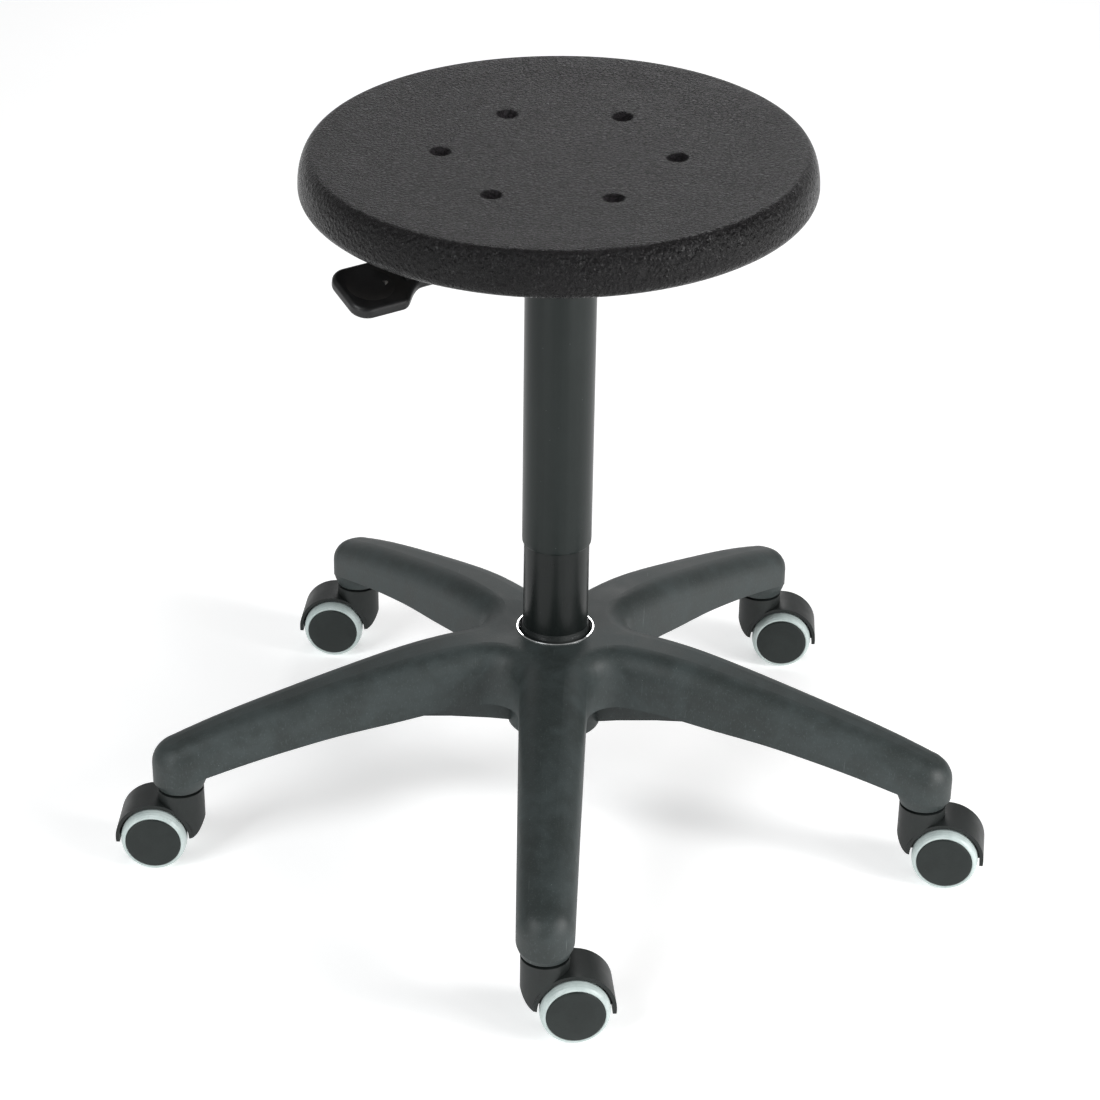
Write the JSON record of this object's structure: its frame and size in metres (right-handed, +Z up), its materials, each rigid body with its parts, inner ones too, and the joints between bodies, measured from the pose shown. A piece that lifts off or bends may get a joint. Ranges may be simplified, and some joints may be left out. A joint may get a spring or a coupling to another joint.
{
  "type": "swivel stool",
  "caption": "Round backless stool: dished padded seat, gas-lift column with cover tube and side lever, ribbed star base on hooded swivel casters.",
  "frame": {"origin": "on the floor, at the middle of the object's bounding box; the column axis stands 0.9 mm to -X and 27.1 mm to +Y of it", "axes": "+Z up along the column; -Y along the leg whose caster has its wheels turned side-on; +X to the right of a viewer who looks along +Y"},
  "size_m": [0.6636, 0.585, 0.5574],
  "materials": {
    "base_nylon": "satin",
    "collar_black": "satin",
    "bush_acetal": "satin",
    "bright_steel": "satin",
    "bearing_steel": "polished",
    "black_tube": "satin",
    "cover_paint": "satin",
    "plate_paint": "satin",
    "stop_rubber": "matte",
    "piston_nylon": "matte",
    "ply_board": "matte",
    "pad_foam": "matte",
    "lever_plastic": "satin",
    "hood_plastic": "satin",
    "wheel_plastic": "satin",
    "tread_grey": "satin"
  },
  "bodies": {
    "base": {"star_base": "base_nylon", "hub_sleeve": "bright_steel", "stand_tube": "black_tube", "tube_end_plate": "bright_steel", "foot_collar": "collar_black", "guide_bush": "bush_acetal", "caster_stems": "bright_steel", "stem_sockets": "bush_acetal", "bearing_race_lower": "bearing_steel"},
    "spindle": {"piston_rod": "bearing_steel", "rod_clip": "bright_steel", "bearing_balls": "bearing_steel", "bearing_race_upper": "bearing_steel", "bump_stop": "stop_rubber", "gas_piston": "piston_nylon"},
    "seat": {"gas_cylinder": "black_tube", "rod_seal": "stop_rubber", "cover_tube": "cover_paint", "cover_cap": "collar_black", "plate_socket": "plate_paint", "seat_plate": "plate_paint", "lever_bracket": "plate_paint", "lever_pin": "bright_steel", "plate_screws": "bright_steel", "tee_nuts": "bright_steel", "seat_board": "ply_board", "seat_pad": "pad_foam"},
    "lever": {"lever_rod": "bright_steel", "lever_paddle": "lever_plastic"},
    "valve_button": {"valve_button": "bright_steel"},
    "caster1": {"caster1_housing": "hood_plastic", "caster1_axle": "bright_steel"},
    "caster1_wheel_a": {"caster1_wheel_a": "wheel_plastic", "caster1_tread_a": "tread_grey"},
    "caster1_wheel_b": {"caster1_wheel_b": "wheel_plastic", "caster1_tread_b": "tread_grey"},
    "caster2": {"caster2_housing": "hood_plastic", "caster2_axle": "bright_steel"},
    "caster2_wheel_a": {"caster2_wheel_a": "wheel_plastic", "caster2_tread_a": "tread_grey"},
    "caster2_wheel_b": {"caster2_wheel_b": "wheel_plastic", "caster2_tread_b": "tread_grey"},
    "caster3": {"caster3_housing": "hood_plastic", "caster3_axle": "bright_steel"},
    "caster3_wheel_a": {"caster3_wheel_a": "wheel_plastic", "caster3_tread_a": "tread_grey"},
    "caster3_wheel_b": {"caster3_wheel_b": "wheel_plastic", "caster3_tread_b": "tread_grey"},
    "caster4": {"caster4_housing": "hood_plastic", "caster4_axle": "bright_steel"},
    "caster4_wheel_a": {"caster4_wheel_a": "wheel_plastic", "caster4_tread_a": "tread_grey"},
    "caster4_wheel_b": {"caster4_wheel_b": "wheel_plastic", "caster4_tread_b": "tread_grey"},
    "caster5": {"caster5_housing": "hood_plastic", "caster5_axle": "bright_steel"},
    "caster5_wheel_a": {"caster5_wheel_a": "wheel_plastic", "caster5_tread_a": "tread_grey"},
    "caster5_wheel_b": {"caster5_wheel_b": "wheel_plastic", "caster5_tread_b": "tread_grey"}
  },
  "joints": [
    {"name": "seat_swivel", "type": "hinge", "parent": "base", "child": "spindle", "pos_m": [-0.00088, 0.02711, 0.079], "axis": [0, 0, 1], "continuous": true},
    {"name": "seat_lift", "type": "slide", "parent": "spindle", "child": "seat", "axis": [0, 0, 1], "range_m": [-0.065, 0.06]},
    {"name": "height_lever", "type": "hinge", "parent": "seat", "child": "lever", "pos_m": [-0.02745, 0.01112, 0.5022], "axis": [-0.5449, 0.8373, 0.0443], "range_deg": [0, 5], "stiffness_Nm_per_rad": 3, "springref_deg": -5.73},
    {"name": "valve_press", "type": "slide", "parent": "seat", "child": "valve_button", "axis": [0, 0, 1], "range_m": [-0.0031, 0]},
    {"name": "caster1_swivel", "type": "hinge", "parent": "base", "child": "caster1", "pos_m": [-0.00088, -0.26889, 0.062], "axis": [0, 0, 1], "continuous": true},
    {"name": "caster1_roll_a", "type": "hinge", "parent": "caster1", "child": "caster1_wheel_a", "pos_m": [0.01901, -0.2668, 0.025], "axis": [-0.1045, 0.9945, 0], "continuous": true},
    {"name": "caster1_roll_b", "type": "hinge", "parent": "caster1", "child": "caster1_wheel_b", "pos_m": [0.01901, -0.2668, 0.025], "axis": [-0.1045, 0.9945, 0], "continuous": true},
    {"name": "caster2_swivel", "type": "hinge", "parent": "base", "child": "caster2", "pos_m": [0.28063, -0.06436, 0.062], "axis": [0, 0, 1], "continuous": true},
    {"name": "caster2_roll_a", "type": "hinge", "parent": "caster2", "child": "caster2_wheel_a", "pos_m": [0.30043, -0.06714, 0.025], "axis": [0.1392, 0.9903, 0], "continuous": true},
    {"name": "caster2_roll_b", "type": "hinge", "parent": "caster2", "child": "caster2_wheel_b", "pos_m": [0.30043, -0.06714, 0.025], "axis": [0.1392, 0.9903, 0], "continuous": true},
    {"name": "caster3_swivel", "type": "hinge", "parent": "base", "child": "caster3", "pos_m": [0.1731, 0.26658, 0.062], "axis": [0, 0, 1], "continuous": true},
    {"name": "caster3_roll_a", "type": "hinge", "parent": "caster3", "child": "caster3_wheel_a", "pos_m": [0.19308, 0.26567, 0.025], "axis": [0.0454, 0.999, 0], "continuous": true},
    {"name": "caster3_roll_b", "type": "hinge", "parent": "caster3", "child": "caster3_wheel_b", "pos_m": [0.19308, 0.26567, 0.025], "axis": [0.0454, 0.999, 0], "continuous": true},
    {"name": "caster4_swivel", "type": "hinge", "parent": "base", "child": "caster4", "pos_m": [-0.17487, 0.26658, 0.062], "axis": [0, 0, 1], "continuous": true},
    {"name": "caster4_roll_a", "type": "hinge", "parent": "caster4", "child": "caster4_wheel_a", "pos_m": [-0.19485, 0.26752, 0.025], "axis": [-0.0471, -0.9989, 0], "continuous": true},
    {"name": "caster4_roll_b", "type": "hinge", "parent": "caster4", "child": "caster4_wheel_b", "pos_m": [-0.19485, 0.26752, 0.025], "axis": [-0.0471, -0.9989, 0], "continuous": true},
    {"name": "caster5_swivel", "type": "hinge", "parent": "base", "child": "caster5", "pos_m": [-0.2824, -0.06436, 0.062], "axis": [0, 0, 1], "continuous": true},
    {"name": "caster5_roll_a", "type": "hinge", "parent": "caster5", "child": "caster5_wheel_a", "pos_m": [-0.3024, -0.0645, 0.025], "axis": [0.007, -1, 0], "continuous": true},
    {"name": "caster5_roll_b", "type": "hinge", "parent": "caster5", "child": "caster5_wheel_b", "pos_m": [-0.3024, -0.0645, 0.025], "axis": [0.007, -1, 0], "continuous": true}
  ],
  "couplings": [
    {"joint": "valve_press", "follows": "height_lever", "m_per_rad": -0.034}
  ]
}
